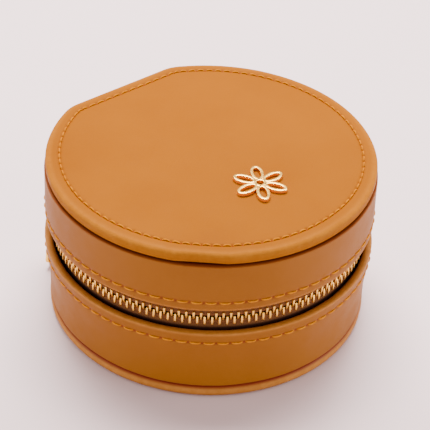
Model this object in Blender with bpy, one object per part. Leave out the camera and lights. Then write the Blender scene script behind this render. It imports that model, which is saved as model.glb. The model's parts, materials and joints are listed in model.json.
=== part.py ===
"""Leather jewellery case: a round, zipped travel case with one flat at the back, where the lid is hinged.

The origin is the centre of the outline on the base's underside. +Z is up, -Y is the front and the hinge is
at +Y. Sizes are in millimetres, and each mesh is scaled to metres when its object is made.
"""
import math

import bmesh
import bpy
from mathutils import Matrix

MM = 0.001

# Outline: a circle of the rolled rims' radius, with a flat back and rounded corners.
RIM_RADIUS = 52.5
FLAT_Y = 48.3
CORNER_RADIUS = 13.0
ARC_STEPS = 30
CORNER_STEPS = 3

# Heights of the closed case.
HEIGHT = 57.0
BASE_RIM_HEIGHT = 4.5
LID_RIM_HEIGHT = 4.0
BASE_WALL_TOP = 27.2
LID_WALL_BOTTOM = 35.2
ZIP_Z = (BASE_WALL_TOP + LID_WALL_BOTTOM) / 2

# Clearance between separate pieces.
GAP = 0.3

# The wall's layers, from outside to inside: how far each lies in from the rim, and its thickness.
PANEL_LEATHER = 1.0
RIM_THICKNESS = 2.2
BAND_INSET = 1.2
BAND_THICKNESS = 1.2
TAPE_INSET = BAND_INSET + BAND_THICKNESS + GAP
TAPE_THICKNESS = 0.5
BOARD_INSET = TAPE_INSET + TAPE_THICKNESS + GAP
BOARD_THICKNESS = 1.5
LINING_INSET = BOARD_INSET + BOARD_THICKNESS + GAP
LINING_THICKNESS = 1.0
INNER_INSET = LINING_INSET + LINING_THICKNESS
INNER_RADIUS = RIM_RADIUS - INNER_INSET
INNER_FLAT_Y = FLAT_Y - INNER_INSET

# Base floor.
BASE_BOARD_BOTTOM = PANEL_LEATHER + GAP
FLOOR_BOTTOM = BASE_RIM_HEIGHT + GAP
FLOOR_TOP = FLOOR_BOTTOM + LINING_THICKNESS
FITTINGS_BOTTOM = FLOOR_TOP + GAP

# Lid roof, from the top down.
LID_LEATHER = 1.2
LID_BOARD_TOP = HEIGHT - LID_LEATHER - GAP
LID_BOARD_BOTTOM = 53.6
WASHER_THICKNESS = 0.4
WASHER_BOTTOM = LID_BOARD_BOTTOM - GAP - WASHER_THICKNESS
ROOF_TOP = WASHER_BOTTOM - GAP
ROOF_BOTTOM = ROOF_TOP - LINING_THICKNESS

# Mirror and its frame.
MIRROR_RADIUS = 34.0
MIRROR_VIEW_RADIUS = 32.0
MIRROR_TOP = ROOF_BOTTOM - GAP
MIRROR_BOTTOM = MIRROR_TOP - 1.7
FRAME_BOTTOM = MIRROR_BOTTOM - 1.6
ROUND_STEPS = 40

# Zip teeth and tapes.
TOOTH_PITCH = 2.2
TOOTH_WIDTH = 0.75
TOOTH_HEIGHT = 1.7
TEETH_HALF_SPAN = 2.5
TEETH_ROOT = 1.5
TEETH_INSET = 2.0
TEETH_THICKNESS = 1.9
TAPE_SEWN_DEPTH = 8.2
TEETH_RADIUS = RIM_RADIUS - TEETH_INSET - TEETH_THICKNESS / 2
STOP_LENGTH = 1.4
STOP_HEIGHT = 1.4

# Slider. Its own frame has +X towards the hinge when the zip is closed, and +Y out of the wall.
SLIDER_ANGLE = 120.0
SLIDER_TRAVEL = 287.0
SLIDER_HALF_LENGTH = 5.0
SLIDER_HALF_HEIGHT = 3.6
PLATE_THICKNESS = 0.8
OUTER_PLATE_INSET = 0.9
INNER_PLATE_INSET = 4.5
FLANGE_DEPTH = 0.75
FLANGE_HEIGHT = 0.7
POST_START_X = 2.0
POST_END_X = 4.6
POST_HALF_HEIGHT = 0.7
BRIDGE_HALF_LENGTH = 4.1
BRIDGE_BAR = 1.2
BRIDGE_HALF_WIDTH = 0.8
BRIDGE_BAR_RADIUS = 55.6

# Pull.
RING_MAJOR = 2.9
RING_WIRE = 0.6
RING_DROP = 1.1
TAB_LENGTH = 27.0
TAB_HALF_WIDTH = 2.5
TAB_THICKNESS = 1.4
TAB_HOLE = 1.0
TAB_SLOT_HALF_WIDTH = 1.1
TAB_SLOT_TOP = 8.0
TAB_SLOT_BOTTOM = 23.5
RING_TILT = -3.5
TAB_LEAN = 20.0

# Base fittings.
ROLL_COUNT = 4
ROLL_PITCH = 10.6
ROLL_FIRST_Y = -3.2
ROLL_HALF_WIDTH = 5.0
ROLL_SIDE_TOP = 15.5
ROLL_SHOULDER = 19.2
ROLL_TOP = 21.0
ROLL_END_CLEARANCE = 0.8
DIVIDER_TOP = 23.0
DIVIDER_THICKNESS = 2.2
LONG_DIVIDER_Y = 2.6
CROSS_DIVIDER_X = 8.0
DIVIDER_CLEARANCE = 0.5

# Ornament: petals round a small ring, fixed by two pins that pass through the lid.
ORNAMENT_Y = -23.2
ORNAMENT_RADIUS = 8.8
ORNAMENT_THICKNESS = 1.2
ORNAMENT_STRIP = 0.9
PETAL_COUNT = 6
PETAL_HALF_WIDTH = 2.1
PETAL_INNER = 1.3
CORE_RADIUS = 2.1
PETAL_STEPS = 14
PIN_RADIUS = 0.5
PIN_STEPS = 8
PIN_X = ORNAMENT_RADIUS - ORNAMENT_STRIP / 2 - 0.1
WASHER_RADIUS = 2.2

# Hinge leather at the flat back.
HINGE_HALF_WIDTH = 17.5
HINGE_LEATHER_LOW = 20.0
HINGE_LEATHER_THICKNESS = 0.8
HINGE_Y = FLAT_Y - BAND_INSET + GAP

# Material: colour, metallic, roughness.
MATERIALS = {
    "tan_leather": ((0.58, 0.25, 0.07), 0.0, 0.45),
    "fibre_board": ((0.30, 0.26, 0.21), 0.0, 0.85),
    "suede": ((0.62, 0.47, 0.33), 0.0, 0.90),
    "zip_tape": ((0.30, 0.14, 0.06), 0.0, 0.80),
    "brass": ((0.80, 0.58, 0.26), 1.0, 0.25),
    "gilt": ((0.90, 0.68, 0.36), 1.0, 0.15),
    "mirror_glass": ((0.85, 0.87, 0.88), 1.0, 0.02),
}


def clear_scene():
    for item in list(bpy.data.objects):
        bpy.data.objects.remove(item)


def material(name):
    """The named material, made the first time that it is asked for."""
    found = bpy.data.materials.get(name)
    if found:
        return found
    colour, metallic, roughness = MATERIALS[name]
    made = bpy.data.materials.new(name)
    made.use_nodes = True
    shader = made.node_tree.nodes["Principled BSDF"]
    shader.inputs["Base Color"].default_value = (*colour, 1.0)
    shader.inputs["Metallic"].default_value = metallic
    shader.inputs["Roughness"].default_value = roughness
    made.diffuse_color = (*colour, 1.0)
    return made


def make_object(name, mesh_edit, material_name=None, parent=None):
    """Turn an edited mesh, in millimetres, into an object, in metres."""
    bmesh.ops.recalc_face_normals(mesh_edit, faces=mesh_edit.faces)
    mesh_edit.transform(Matrix.Scale(MM, 4))
    mesh = bpy.data.meshes.new(name)
    mesh_edit.to_mesh(mesh)
    mesh_edit.free()
    made = bpy.data.objects.new(name, mesh)
    bpy.context.scene.collection.objects.link(made)
    if parent:
        made.parent = parent
    if material_name:
        mesh.materials.append(material(material_name))
        mesh.shade_smooth()
        mesh.set_sharp_from_angle(angle=math.radians(35))
    return made


def make_empty(name, place, turn, parent=None):
    """An empty on a joint's axis. The place is in millimetres and the turn in degrees, both as X, Y, Z."""
    empty = bpy.data.objects.new(name, None)
    bpy.context.scene.collection.objects.link(empty)
    empty.parent = parent
    empty.location = [value * MM for value in place]
    empty.rotation_euler = [math.radians(value) for value in turn]
    empty.empty_display_size = 0.01
    return empty


def boolean(target, tool, operation):
    """Cut or join one object with another, which is kept as a hidden guide."""
    tool.hide_render = True
    tool.display_type = "WIRE"
    step = target.modifiers.new(operation.lower(), "BOOLEAN")
    step.operation = operation
    step.solver = "EXACT"
    step.object = tool


def arc(centre, radius, start, end, steps):
    """Points on an arc from start to end, in degrees, both ends included."""
    angles = [math.radians(start + (end - start) * i / steps) for i in range(steps + 1)]
    return [(centre[0] + radius * math.cos(a), centre[1] + radius * math.sin(a)) for a in angles]


def case_outline(inset):
    """The case's outline moved inward by inset, from the flat's left end anticlockwise to its right end."""
    corner_y = FLAT_Y - CORNER_RADIUS
    corner_x = math.sqrt((RIM_RADIUS - CORNER_RADIUS) ** 2 - corner_y ** 2)
    meet = math.degrees(math.atan2(corner_y, corner_x))
    corner = CORNER_RADIUS - inset
    left = arc((-corner_x, corner_y), corner, 90, 180 - meet, CORNER_STEPS)
    front = arc((0, 0), RIM_RADIUS - inset, 180 - meet, 360 + meet, ARC_STEPS)
    right = arc((corner_x, corner_y), corner, meet, 90, CORNER_STEPS)
    return left[:-1] + front[:-1] + right


def bridge_rings(mesh_edit, first, second, closed=True):
    count = len(first)
    for i in range(count if closed else count - 1):
        j = (i + 1) % count
        mesh_edit.faces.new((first[i], first[j], second[j], second[i]))


def outline_rings(mesh_edit, profile):
    """One ring of vertices round the case for each (inset, z) of the profile."""
    return [[mesh_edit.verts.new((x, y, z)) for x, y in case_outline(inset)] for inset, z in profile]


def outline_plate(profile):
    """A solid that follows the case's outline, closed by a flat face at each end of its profile."""
    mesh_edit = bmesh.new()
    rings = outline_rings(mesh_edit, profile)
    for first, second in zip(rings, rings[1:]):
        bridge_rings(mesh_edit, first, second)
    mesh_edit.faces.new(rings[0])
    mesh_edit.faces.new(rings[-1])
    return mesh_edit


def outline_wall(inset, thickness, bottom, top):
    """A wall that follows the case's whole outline."""
    mesh_edit = bmesh.new()
    profile = [(inset, bottom), (inset, top), (inset + thickness, top), (inset + thickness, bottom)]
    rings = outline_rings(mesh_edit, profile)
    for first, second in zip(rings, rings[1:] + rings[:1]):
        bridge_rings(mesh_edit, first, second)
    return mesh_edit


def open_wall(inset, thickness, bottom, top, skipped):
    """A wall that leaves out the flat and, at each end, the given number of corner points."""
    mesh_edit = bmesh.new()
    profile = [(inset, bottom), (inset, top), (inset + thickness, top), (inset + thickness, bottom)]
    rings = []
    for ring_inset, z in profile:
        points = case_outline(ring_inset)[skipped:-skipped]
        rings.append([mesh_edit.verts.new((x, y, z)) for x, y in points])
    for first, second in zip(rings, rings[1:] + rings[:1]):
        bridge_rings(mesh_edit, first, second, closed=False)
    mesh_edit.faces.new([ring[0] for ring in rings])
    mesh_edit.faces.new([ring[-1] for ring in rings])
    return mesh_edit


def prism(points, low, high, place=lambda a, b, c: (a, b, c)):
    """A solid from a flat outline of (a, b) and two levels of c. place turns a, b, c into x, y, z."""
    mesh_edit = bmesh.new()
    rings = [[mesh_edit.verts.new(place(a, b, c)) for a, b in points] for c in (low, high)]
    bridge_rings(mesh_edit, *rings)
    mesh_edit.faces.new(rings[0])
    mesh_edit.faces.new(rings[1])
    return mesh_edit


def box(low, high):
    corners = [(low[0], low[1]), (high[0], low[1]), (high[0], high[1]), (low[0], high[1])]
    return prism(corners, low[2], high[2])


def disc(centre, radius, bottom, top, steps):
    return prism(arc(centre, radius, 0, 360, steps)[:-1], bottom, top)


def rolled_panel(rim_height, leather):
    """Profile of a leather panel with a rolled edge and a shallow hollow for its board, underside at 0."""
    return [
        (1.0, 0.0),
        (0.3, 0.35),
        (0.0, 1.2),
        (0.0, rim_height - 1.2),
        (0.3, rim_height - 0.35),
        (1.0, rim_height),
        (RIM_THICKNESS, rim_height),
        (RIM_THICKNESS, leather),
    ]


def make_base():
    panel = outline_plate(rolled_panel(BASE_RIM_HEIGHT, PANEL_LEATHER))
    make_object("base_panel", panel, "tan_leather")
    board_inset = RIM_THICKNESS + GAP
    board = outline_plate([(board_inset, BASE_BOARD_BOTTOM), (board_inset, BASE_RIM_HEIGHT)])
    make_object("base_board", board, "fibre_board")
    band = outline_wall(BAND_INSET, BAND_THICKNESS, FLOOR_BOTTOM, BASE_WALL_TOP)
    make_object("base_band", band, "tan_leather")
    wall = outline_wall(BOARD_INSET, BOARD_THICKNESS, FLOOR_BOTTOM, BASE_WALL_TOP)
    make_object("base_wall_board", wall, "fibre_board")
    lining = outline_plate([
        (LINING_INSET, FLOOR_BOTTOM),
        (LINING_INSET, BASE_WALL_TOP),
        (INNER_INSET, BASE_WALL_TOP),
        (INNER_INSET, FLOOR_TOP),
    ])
    make_object("base_lining", lining, "suede")


def ring_roll(index):
    """A padded roll across the front half, as long as the round wall allows."""
    middle = ROLL_FIRST_Y - index * ROLL_PITCH
    furthest = abs(middle) + ROLL_HALF_WIDTH
    half_length = math.sqrt(INNER_RADIUS ** 2 - furthest ** 2) - ROLL_END_CLEARANCE
    shoulder = 0.72 * ROLL_HALF_WIDTH
    section = [
        (middle - ROLL_HALF_WIDTH, FITTINGS_BOTTOM),
        (middle + ROLL_HALF_WIDTH, FITTINGS_BOTTOM),
        (middle + ROLL_HALF_WIDTH, ROLL_SIDE_TOP),
        (middle + shoulder, ROLL_SHOULDER),
        (middle, ROLL_TOP),
        (middle - shoulder, ROLL_SHOULDER),
        (middle - ROLL_HALF_WIDTH, ROLL_SIDE_TOP),
    ]
    return prism(section, -half_length, half_length, lambda y, z, x: (x, y, z))


def make_fittings():
    for index in range(ROLL_COUNT):
        make_object(f"ring_roll_{index + 1}", ring_roll(index), "suede")
    divider_back = LONG_DIVIDER_Y + DIVIDER_THICKNESS
    reach = math.sqrt(INNER_RADIUS ** 2 - divider_back ** 2) - DIVIDER_CLEARANCE
    long_divider = box((-reach, LONG_DIVIDER_Y, FITTINGS_BOTTOM), (reach, divider_back, DIVIDER_TOP))
    make_object("long_divider", long_divider, "suede")
    cross_low = (CROSS_DIVIDER_X, divider_back + GAP, FITTINGS_BOTTOM)
    cross_high = (CROSS_DIVIDER_X + DIVIDER_THICKNESS, INNER_FLAT_Y - DIVIDER_CLEARANCE, DIVIDER_TOP)
    make_object("cross_divider", box(cross_low, cross_high), "suede")


def make_lid():
    profile = [(inset, HEIGHT - depth) for inset, depth in rolled_panel(LID_RIM_HEIGHT, LID_LEATHER)]
    panel = make_object("lid_panel", outline_plate(profile), "tan_leather")
    board_inset = RIM_THICKNESS + GAP
    plate = outline_plate([(board_inset, LID_BOARD_BOTTOM), (board_inset, LID_BOARD_TOP)])
    board = make_object("lid_board", plate, "fibre_board")
    for side in (-1, 1):
        hole = disc((side * PIN_X, ORNAMENT_Y), PIN_RADIUS + GAP, LID_BOARD_BOTTOM - 2, HEIGHT + 2, PIN_STEPS)
        cutter = make_object(f"pin_hole_{side}", hole)
        boolean(panel, cutter, "DIFFERENCE")
        boolean(board, cutter, "DIFFERENCE")
    band_top = HEIGHT - LID_RIM_HEIGHT - GAP
    band = outline_wall(BAND_INSET, BAND_THICKNESS, LID_WALL_BOTTOM, band_top)
    make_object("lid_band", band, "tan_leather")
    wall = outline_wall(BOARD_INSET, BOARD_THICKNESS, LID_WALL_BOTTOM, LID_BOARD_BOTTOM - GAP)
    make_object("lid_wall_board", wall, "fibre_board")
    lining = outline_plate([
        (LINING_INSET, ROOF_TOP),
        (LINING_INSET, LID_WALL_BOTTOM),
        (INNER_INSET, LID_WALL_BOTTOM),
        (INNER_INSET, ROOF_BOTTOM),
    ])
    make_object("lid_lining", lining, "suede")


def make_mirror():
    mirror = disc((0, 0), MIRROR_RADIUS, MIRROR_BOTTOM, MIRROR_TOP, ROUND_STEPS)
    make_object("mirror", mirror, "mirror_glass")
    frame_inset = INNER_INSET + GAP
    frame = make_object(
        "mirror_frame",
        outline_plate([(frame_inset, FRAME_BOTTOM), (frame_inset, MIRROR_TOP)]),
        "suede",
    )
    view = disc((0, 0), MIRROR_VIEW_RADIUS, FRAME_BOTTOM - 1, MIRROR_TOP + 1, ROUND_STEPS)
    seat = disc((0, 0), MIRROR_RADIUS + GAP, MIRROR_BOTTOM - GAP, MIRROR_TOP + 1, ROUND_STEPS)
    boolean(frame, make_object("mirror_view", view), "DIFFERENCE")
    boolean(frame, make_object("mirror_seat", seat), "DIFFERENCE")


def loop_strip(half_length, half_width, place):
    """A flat oval loop of the ornament's strip width, moved by the matrix place."""
    mesh_edit = bmesh.new()
    rings = []
    bottom = HEIGHT + GAP
    inner_length = half_length - ORNAMENT_STRIP
    inner_width = half_width - ORNAMENT_STRIP
    levels = (
        (half_length, half_width, bottom),
        (half_length, half_width, bottom + ORNAMENT_THICKNESS),
        (inner_length, inner_width, bottom + ORNAMENT_THICKNESS),
        (inner_length, inner_width, bottom),
    )
    for length, width, z in levels:
        angles = [2 * math.pi * i / PETAL_STEPS for i in range(PETAL_STEPS)]
        rings.append([mesh_edit.verts.new((length * math.cos(a), width * math.sin(a), z)) for a in angles])
    for first, second in zip(rings, rings[1:] + rings[:1]):
        bridge_rings(mesh_edit, first, second)
    mesh_edit.transform(place)
    return mesh_edit


def make_ornament():
    centre = Matrix.Translation((0, ORNAMENT_Y, 0))
    ornament = make_object("ornament", loop_strip(CORE_RADIUS, CORE_RADIUS, centre), "gilt")
    half_length = (ORNAMENT_RADIUS - PETAL_INNER) / 2
    for index in range(PETAL_COUNT):
        turn = Matrix.Rotation(2 * math.pi * index / PETAL_COUNT, 4, "Z")
        shift = Matrix.Translation((PETAL_INNER + half_length, 0, 0))
        petal = loop_strip(half_length, PETAL_HALF_WIDTH, centre @ turn @ shift)
        boolean(ornament, make_object(f"petal_{index}", petal), "UNION")
    for side in (-1, 1):
        pin = disc((side * PIN_X, ORNAMENT_Y), PIN_RADIUS, WASHER_BOTTOM, HEIGHT + 2 * GAP, PIN_STEPS)
        boolean(ornament, make_object(f"pin_{side}", pin), "UNION")


def make_washers():
    for name, side in (("ornament_washer_left", -1), ("ornament_washer_right", 1)):
        centre = (side * PIN_X, ORNAMENT_Y)
        plate = disc(centre, WASHER_RADIUS, WASHER_BOTTOM, WASHER_BOTTOM + WASHER_THICKNESS, 2 * PIN_STEPS)
        washer = make_object(name, plate, "brass")
        hole = disc(centre, PIN_RADIUS + GAP, WASHER_BOTTOM - 1, WASHER_BOTTOM + 2, PIN_STEPS)
        boolean(washer, make_object(f"{name}_hole", hole), "DIFFERENCE")


def on_teeth_circle(angle, inset):
    radius = RIM_RADIUS - inset
    return radius * math.cos(angle), radius * math.sin(angle)


def teeth_row(first_angle, count, pitch, side):
    """A row of teeth on one backing strip. side is -1 for the lower row and 1 for the upper one."""
    back = ZIP_Z + side * TEETH_HALF_SPAN
    root = back - side * TEETH_ROOT
    tip = root - side * TOOTH_HEIGHT
    width = TOOTH_WIDTH / TEETH_RADIUS
    mesh_edit = bmesh.new()

    def column(angle, levels):
        x, y = on_teeth_circle(angle, TEETH_INSET)
        return [mesh_edit.verts.new((x, y, z)) for z in levels]

    starts = [column(first_angle + i * pitch, (back, root, tip)) for i in range(count)]
    starts.append(column(first_angle + count * pitch, (back, root)))
    for i in range(count):
        end_root, end_tip = column(first_angle + i * pitch + width, (root, tip))
        this, following = starts[i], starts[i + 1]
        mesh_edit.faces.new((this[0], following[0], following[1], end_root, end_tip, this[2], this[1]))
    front = list(mesh_edit.faces)
    made = bmesh.ops.extrude_face_region(mesh_edit, geom=front, use_keep_orig=True)
    shrink = (RIM_RADIUS - TEETH_INSET - TEETH_THICKNESS) / (RIM_RADIUS - TEETH_INSET)
    for item in made["geom"]:
        if isinstance(item, bmesh.types.BMVert):
            item.co.x *= shrink
            item.co.y *= shrink
    return mesh_edit


def wall_block(start, length, bottom, top):
    """A small block on the teeth's circle, from an angle in radians, with a length along the circle."""
    end = start + length / TEETH_RADIUS
    corners = [
        on_teeth_circle(start, TEETH_INSET),
        on_teeth_circle(end, TEETH_INSET),
        on_teeth_circle(end, TEETH_INSET + TEETH_THICKNESS),
        on_teeth_circle(start, TEETH_INSET + TEETH_THICKNESS),
    ]
    return prism(corners, bottom, top)


def make_zip():
    teeth_low = ZIP_Z - TEETH_HALF_SPAN
    teeth_high = ZIP_Z + TEETH_HALF_SPAN
    lower_tape = open_wall(
        TAPE_INSET, TAPE_THICKNESS, BASE_WALL_TOP - TAPE_SEWN_DEPTH, teeth_low - GAP, 1
    )
    make_object("lower_zip_tape", lower_tape, "zip_tape")
    upper_tape = open_wall(
        TAPE_INSET, TAPE_THICKNESS, teeth_high + GAP, LID_WALL_BOTTOM + TAPE_SEWN_DEPTH, 1
    )
    make_object("upper_zip_tape", upper_tape, "zip_tape")

    slider = math.radians(SLIDER_ANGLE)
    first_tooth = slider - (POST_START_X - 2 * GAP) / TEETH_RADIUS
    slider_reach = SLIDER_HALF_LENGTH / TEETH_RADIUS
    teeth_end = slider + math.radians(SLIDER_TRAVEL) + slider_reach - GAP / TEETH_RADIUS
    count = int((teeth_end - first_tooth) * TEETH_RADIUS / TOOTH_PITCH)
    pitch = (teeth_end - first_tooth) / (count + 0.5)
    make_object("lower_zip_teeth", teeth_row(first_tooth, count, pitch, -1), "brass")
    make_object("upper_zip_teeth", teeth_row(first_tooth + pitch / 2, count, pitch, 1), "brass")

    top_stop = first_tooth - (STOP_LENGTH + GAP) / TEETH_RADIUS
    lower_stop = wall_block(top_stop, STOP_LENGTH, teeth_low, teeth_low + STOP_HEIGHT)
    make_object("lower_top_stop", lower_stop, "brass")
    upper_stop = wall_block(top_stop, STOP_LENGTH, teeth_high - STOP_HEIGHT, teeth_high)
    make_object("upper_top_stop", upper_stop, "brass")
    bottom_stop = wall_block(teeth_end + 2 * GAP / TEETH_RADIUS, STOP_LENGTH, teeth_low, teeth_high)
    make_object("bottom_stop", bottom_stop, "brass")


def channel(plate_y, flange_y, thickness):
    """One plate of the slider with its two flanges, as a section in Y and Z drawn out along X."""
    low = ZIP_Z - SLIDER_HALF_HEIGHT
    high = ZIP_Z + SLIDER_HALF_HEIGHT
    section = [
        (plate_y + thickness, low),
        (plate_y + thickness, high),
        (flange_y, high),
        (flange_y, high - FLANGE_HEIGHT),
        (plate_y, high - FLANGE_HEIGHT),
        (plate_y, low + FLANGE_HEIGHT),
        (flange_y, low + FLANGE_HEIGHT),
        (flange_y, low),
    ]
    return prism(section, -SLIDER_HALF_LENGTH, SLIDER_HALF_LENGTH, lambda y, z, x: (x, y, z))


def make_slider(axis):
    outer_face = RIM_RADIUS - OUTER_PLATE_INSET
    outer_inside = outer_face - PLATE_THICKNESS
    inner_inside = RIM_RADIUS - INNER_PLATE_INSET
    outer = channel(outer_inside, outer_inside - FLANGE_DEPTH, PLATE_THICKNESS)
    slider = make_object("zip_slider", outer, "brass", axis)
    inner = channel(inner_inside, inner_inside + FLANGE_DEPTH, -PLATE_THICKNESS)
    boolean(slider, make_object("inner_plate", inner, None, axis), "UNION")
    post_middle = (POST_START_X + POST_END_X) / 2
    post = prism(
        [
            (POST_START_X, ZIP_Z),
            (post_middle, ZIP_Z - POST_HALF_HEIGHT),
            (POST_END_X, ZIP_Z),
            (post_middle, ZIP_Z + POST_HALF_HEIGHT),
        ],
        inner_inside - GAP,
        outer_inside + GAP,
        lambda x, z, y: (x, y, z),
    )
    boolean(slider, make_object("post", post, None, axis), "UNION")
    bar_out = BRIDGE_BAR_RADIUS + BRIDGE_BAR / 2
    bar_in = BRIDGE_BAR_RADIUS - BRIDGE_BAR / 2
    leg_in = BRIDGE_HALF_LENGTH - 1.4
    foot = outer_face - GAP
    arch = [
        (-BRIDGE_HALF_LENGTH, foot),
        (-leg_in, foot),
        (-leg_in, bar_in),
        (leg_in, bar_in),
        (leg_in, foot),
        (BRIDGE_HALF_LENGTH, foot),
        (BRIDGE_HALF_LENGTH, bar_out - 1.0),
        (BRIDGE_HALF_LENGTH - 1.0, bar_out),
        (1.0 - BRIDGE_HALF_LENGTH, bar_out),
        (-BRIDGE_HALF_LENGTH, bar_out - 1.0),
    ]
    bridge = prism(arch, ZIP_Z - BRIDGE_HALF_WIDTH, ZIP_Z + BRIDGE_HALF_WIDTH)
    boolean(slider, make_object("bridge", bridge, None, axis), "UNION")


def make_ring(axis):
    """The round wire ring that hangs on the slider's bridge, in the plane of Y and Z."""
    mesh_edit = bmesh.new()
    rings = []
    for i in range(16):
        turn = 2 * math.pi * i / 16
        section = []
        for j in range(6):
            around = 2 * math.pi * j / 6
            radius = RING_MAJOR + RING_WIRE * math.cos(around)
            spot = (RING_WIRE * math.sin(around), radius * math.cos(turn), radius * math.sin(turn) - RING_DROP)
            section.append(mesh_edit.verts.new(spot))
        rings.append(section)
    for first, second in zip(rings, rings[1:] + rings[:1]):
        bridge_rings(mesh_edit, first, second)
    make_object("pull_ring", mesh_edit, "brass", axis)


def to_wall_plane(x, z, y):
    return x, y, z


def make_tab(axis):
    """The long pull, drawn in X and Z round its hole and drawn out through its thickness in Y."""
    half = TAB_THICKNESS / 2
    outline = arc((0, 0), TAB_HALF_WIDTH, 0, 180, 8)
    outline += arc((-TAB_HALF_WIDTH + 1.5, -TAB_LENGTH + 1.5), 1.5, 180, 270, 3)
    outline += arc((TAB_HALF_WIDTH - 1.5, -TAB_LENGTH + 1.5), 1.5, 270, 360, 3)
    tab = make_object("pull_tab", prism(outline, -half, half, to_wall_plane), "brass", axis)
    hole = prism(arc((0, 0), TAB_HOLE, 0, 360, 12)[:-1], -2, 2, to_wall_plane)
    boolean(tab, make_object("tab_hole", hole, None, axis), "DIFFERENCE")
    slot_outline = arc((0, -TAB_SLOT_TOP), TAB_SLOT_HALF_WIDTH, 0, 180, 5)
    slot_outline += arc((0, -TAB_SLOT_BOTTOM), TAB_SLOT_HALF_WIDTH, 180, 360, 5)
    slot = prism(slot_outline, -2, 2, to_wall_plane)
    boolean(tab, make_object("tab_slot", slot, None, axis), "DIFFERENCE")


def make_zip_pull():
    slider_axis = make_empty("slider_axis", (0, 0, 0), (0, 0, SLIDER_ANGLE - 90))
    make_slider(slider_axis)
    ring_axis = make_empty("ring_axis", (0, BRIDGE_BAR_RADIUS, ZIP_Z), (RING_TILT, 0, 0), slider_axis)
    make_ring(ring_axis)
    tab_axis = make_empty("tab_axis", (0, 0, -RING_DROP - RING_MAJOR), (0, TAB_LEAN, 0), ring_axis)
    make_tab(tab_axis)


def make_hinge():
    """The leather hinge at the flat: an outer strip over both bands, and an inner one between them."""
    high = LID_WALL_BOTTOM + BASE_WALL_TOP - HINGE_LEATHER_LOW
    outer = box(
        (-HINGE_HALF_WIDTH, HINGE_Y, HINGE_LEATHER_LOW),
        (HINGE_HALF_WIDTH, HINGE_Y + HINGE_LEATHER_THICKNESS, high),
    )
    make_object("hinge_leather", outer, "tan_leather")
    inner = box(
        (-HINGE_HALF_WIDTH, HINGE_Y - GAP - BAND_THICKNESS, BASE_WALL_TOP + GAP),
        (HINGE_HALF_WIDTH, HINGE_Y - GAP, LID_WALL_BOTTOM - GAP),
    )
    make_object("hinge_lining", inner, "suede")


def main():
    clear_scene()
    make_base()
    make_fittings()
    make_lid()
    make_mirror()
    make_ornament()
    make_washers()
    make_zip()
    make_zip_pull()
    make_hinge()
    bpy.context.view_layer.update()


main()
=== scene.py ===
"""Looks for the leather jewellery case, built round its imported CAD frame.

Shapes are worked out in millimetres and turned into metres when a mesh is made. A place on the case's wall is
given by s, the distance round the rim outline from the middle of the front (positive to the right), by inset,
the distance inward from that outline, and by the height z.
"""

import json
import math
import random

import bmesh
import bpy
from mathutils import Matrix, Vector, noise


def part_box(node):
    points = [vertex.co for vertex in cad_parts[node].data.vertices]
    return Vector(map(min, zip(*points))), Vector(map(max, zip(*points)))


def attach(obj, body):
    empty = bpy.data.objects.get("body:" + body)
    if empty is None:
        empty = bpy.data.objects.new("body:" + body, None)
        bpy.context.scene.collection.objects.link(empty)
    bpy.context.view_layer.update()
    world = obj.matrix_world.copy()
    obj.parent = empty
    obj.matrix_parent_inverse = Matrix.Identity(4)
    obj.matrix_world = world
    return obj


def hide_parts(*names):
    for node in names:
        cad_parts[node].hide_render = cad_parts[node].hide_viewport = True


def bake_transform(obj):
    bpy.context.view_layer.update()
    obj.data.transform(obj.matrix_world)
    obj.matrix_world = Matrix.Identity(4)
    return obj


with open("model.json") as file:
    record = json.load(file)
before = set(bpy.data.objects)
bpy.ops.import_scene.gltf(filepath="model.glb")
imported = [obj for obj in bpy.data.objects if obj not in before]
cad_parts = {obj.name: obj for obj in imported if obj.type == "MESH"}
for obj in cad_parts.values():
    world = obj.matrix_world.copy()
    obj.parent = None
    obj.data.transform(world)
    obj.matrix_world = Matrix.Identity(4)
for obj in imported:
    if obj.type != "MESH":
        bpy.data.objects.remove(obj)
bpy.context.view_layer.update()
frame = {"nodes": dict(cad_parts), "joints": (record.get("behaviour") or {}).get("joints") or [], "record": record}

MM = 0.001


def node_box(node):
    """The CAD node's lowest and highest corner, in millimetres."""
    return [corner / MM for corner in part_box(node)]


# Driving dimensions, read from the frame, in millimetres.
PANEL_LOW, PANEL_HIGH = node_box("lid_panel")
BASE_LOW, BASE_HIGH = node_box("base_panel")
LOWER_BAND = node_box("base_band")
UPPER_BAND = node_box("lid_band")
RIM_RADIUS = -PANEL_LOW.y
FLAT_Y = PANEL_HIGH.y
HEIGHT = PANEL_HIGH.z
CORNER_RADIUS = 13.0
BAND_INSET = FLAT_Y - LOWER_BAND[1].y
BAND_THICKNESS = 1.2
LIP_THICKENING = 1.35
BASE_WALL_TOP = LOWER_BAND[1].z
LID_WALL_BOTTOM = UPPER_BAND[0].z
ZIP_Z = (BASE_WALL_TOP + LID_WALL_BOTTOM) / 2
LINING_INSET = FLAT_Y - node_box("base_lining")[1].y
FLOOR_TOP = node_box("base_lining")[0].z + 1.0
ROOF_BOTTOM = node_box("lid_lining")[1].z - 1.0
TAPE_OUT = 0.35
TAPE_INSET = FLAT_Y - node_box("lower_zip_tape")[1].y - TAPE_OUT
TEETH_DEPTH_IN = 0.35
TEETH_INSET = RIM_RADIUS + node_box("lower_zip_teeth")[0].y + TEETH_DEPTH_IN
LINING_THICKNESS = 1.0

# How far the padded bands stand out past the CAD's, and how much further they flare at the zip.
UPPER_BAND_OUT = 1.6
UPPER_BAND_FLARE = 0.15
LOWER_BAND_OUT = 0.85
LOWER_BAND_FLARE = 1.3

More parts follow.
